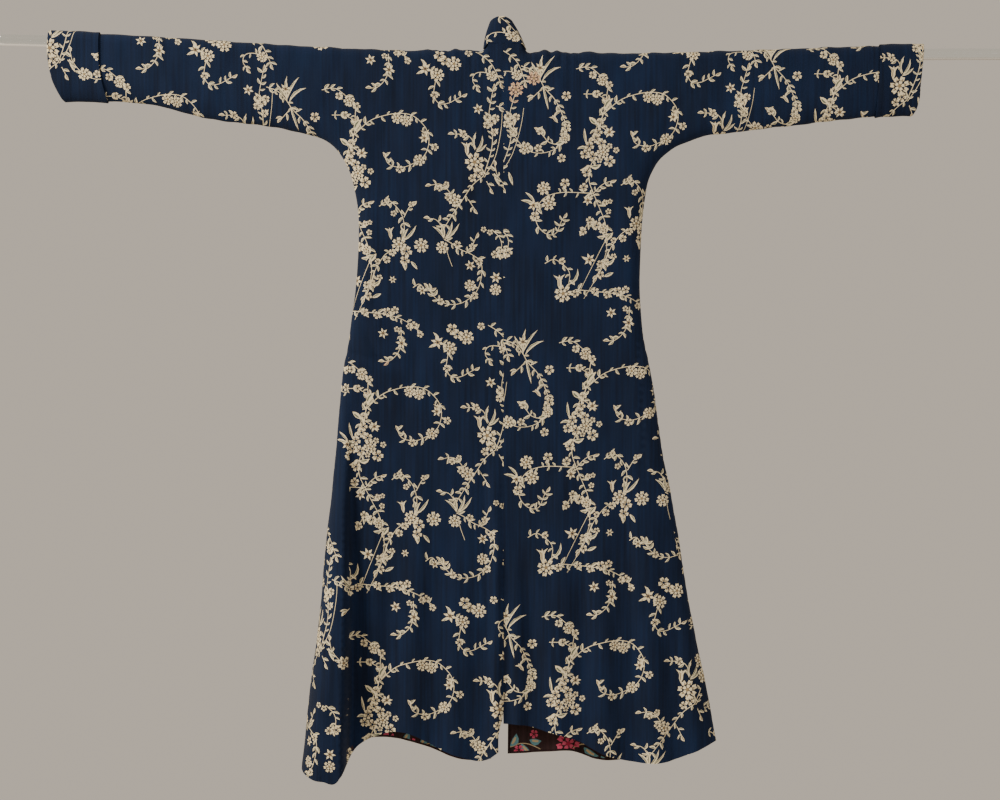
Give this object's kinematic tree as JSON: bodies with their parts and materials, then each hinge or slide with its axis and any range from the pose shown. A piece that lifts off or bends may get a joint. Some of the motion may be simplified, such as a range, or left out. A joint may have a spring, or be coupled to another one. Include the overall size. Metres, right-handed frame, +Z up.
{
  "type": "printed cotton robe hung on a clear rod",
  "caption": "Long open-fronted robe with tapering sleeves, turned-back cuffs and flared side gores, spread flat on a rod through its sleeves",
  "frame": {"origin": "middle of the rod's round section, halfway along the rod", "axes": "+X along the rod to the viewer's right of the robe's back, +Y out of the robe's front, +Z up"},
  "size_m": [1.74, 0.1154, 1.3087],
  "materials": {
    "printed_cotton": "matt plain-weave cotton, indigo with cream flower sprays",
    "printed_lining": "matt plain-weave cotton, brown-black with roses",
    "clear_rod": "clear polished acrylic"
  },
  "bodies": {
    "root": {"rod": "clear_rod", "back_left": "printed_cotton", "back_right": "printed_cotton", "front_left": "printed_cotton", "front_right": "printed_cotton", "front_lining_left": "printed_lining", "front_lining_right": "printed_lining", "gore_left": "printed_cotton", "gore_right": "printed_cotton", "sleeve_left": "printed_cotton", "sleeve_right": "printed_cotton", "cuff_left": "printed_cotton", "cuff_right": "printed_cotton", "collar": "printed_cotton"}
  },
  "joints": []
}
